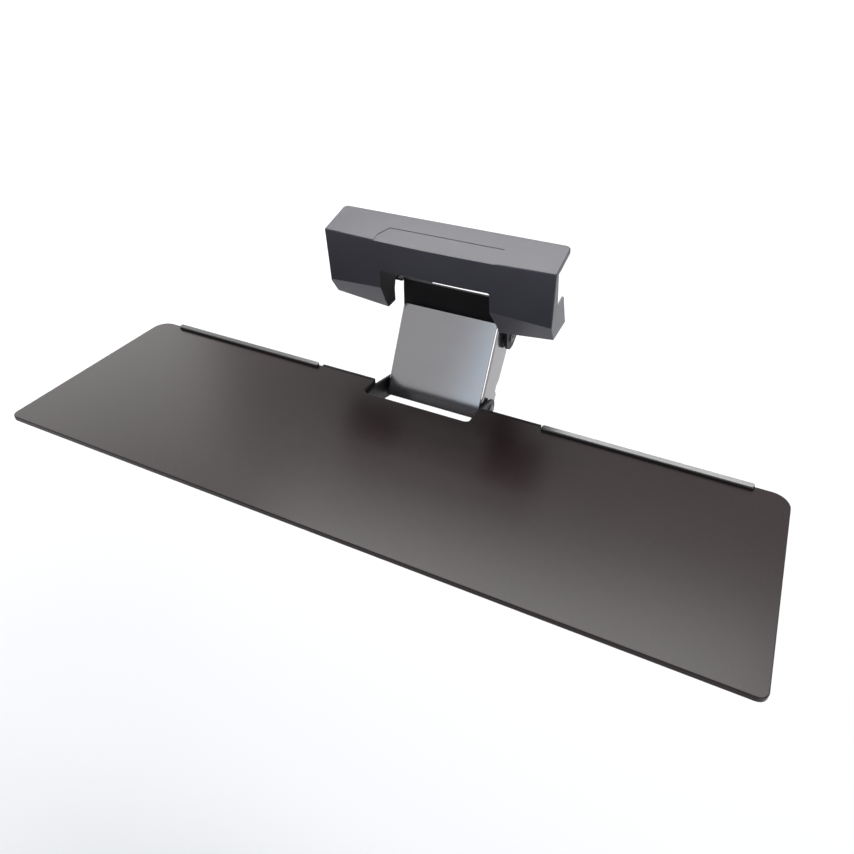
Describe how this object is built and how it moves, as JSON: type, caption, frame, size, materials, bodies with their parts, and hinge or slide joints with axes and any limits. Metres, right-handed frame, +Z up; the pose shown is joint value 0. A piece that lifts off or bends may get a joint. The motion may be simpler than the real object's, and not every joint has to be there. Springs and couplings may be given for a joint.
{
  "type": "keyboard tray",
  "caption": "Clamp-on keyboard tray for a desk's front edge: moulded clamp, short friction-hinged arm and thin tilting board with rubber rear lips.",
  "frame": {"origin": "on the desk's top at its front edge, mid-width: the face of the rubber under the jaw's top plate", "axes": "+X to the right of someone at the desk, +Y back into the desk, +Z up"},
  "size_m": [0.686, 0.3471, 0.1865],
  "materials": {
    "cover_plastic": "fine-grained dark grey moulding",
    "zinc_steel": "zinc plated",
    "black_paint": "black powder coat",
    "grey_paint": "grey metallic powder coat",
    "pad_rubber": "matt black rubber",
    "bush_plastic": "black acetal",
    "board_laminate": "satin dark grey-brown laminate"
  },
  "bodies": {
    "clamp": {"clamp_cover": "cover_plastic", "cover_screws": "zinc_steel", "upper_jaw": "black_paint", "desk_pad": "pad_rubber", "edge_pad": "pad_rubber", "ledge_nuts": "zinc_steel", "hinge_bracket": "black_paint", "bracket_bolts": "zinc_steel", "bracket_nuts": "zinc_steel", "shoulder_bolts": "zinc_steel", "shoulder_washers": "zinc_steel", "shoulder_springs": "zinc_steel", "shoulder_nuts": "zinc_steel"},
    "arm": {"arm_channel": "grey_paint", "arm_bushes": "bush_plastic"},
    "tray": {"tray_board": "board_laminate", "rear_lip_left": "pad_rubber", "rear_lip_right": "pad_rubber", "tray_bracket": "black_paint", "tray_screws": "zinc_steel", "tilt_bolts": "zinc_steel", "tilt_washers": "zinc_steel", "tilt_springs": "zinc_steel", "tilt_nuts": "zinc_steel"},
    "foot_left": {"swivel_pad_left": "zinc_steel", "pad_rubber_left": "pad_rubber"},
    "screw_left": {"clamp_screw_left": "zinc_steel"},
    "foot_right": {"swivel_pad_right": "zinc_steel", "pad_rubber_right": "pad_rubber"},
    "screw_right": {"clamp_screw_right": "zinc_steel"}
  },
  "joints": [
    {"name": "arm_swing", "type": "hinge", "parent": "clamp", "child": "arm", "pos_m": [0, 0.031, -0.117], "axis": [1, 0, 0], "range_deg": [-14, 45]},
    {"name": "tray_tilt", "type": "hinge", "parent": "arm", "child": "tray", "pos_m": [0, -0.033, -0.165], "axis": [1, 0, 0], "range_deg": [-45, 30]},
    {"name": "foot_left_lift", "type": "slide", "parent": "clamp", "child": "foot_left", "axis": [0, 0, 1], "range_m": [-0.001, 0.017]},
    {"name": "screw_left_turn", "type": "hinge", "parent": "foot_left", "child": "screw_left", "pos_m": [-0.092, 0.014, -0.04], "axis": [0, 0, 1], "range_deg": [-288.5, 4896.5]},
    {"name": "foot_right_lift", "type": "slide", "parent": "clamp", "child": "foot_right", "axis": [0, 0, 1], "range_m": [-0.001, 0.017]},
    {"name": "screw_right_turn", "type": "hinge", "parent": "foot_right", "child": "screw_right", "pos_m": [0.092, 0.014, -0.04], "axis": [0, 0, 1], "range_deg": [-288.5, 4896.5]}
  ],
  "couplings": [
    {"joint": "screw_left_turn", "follows": "foot_left_lift", "rad_per_m": 5026.5},
    {"joint": "screw_right_turn", "follows": "foot_right_lift", "rad_per_m": 5026.5}
  ]
}
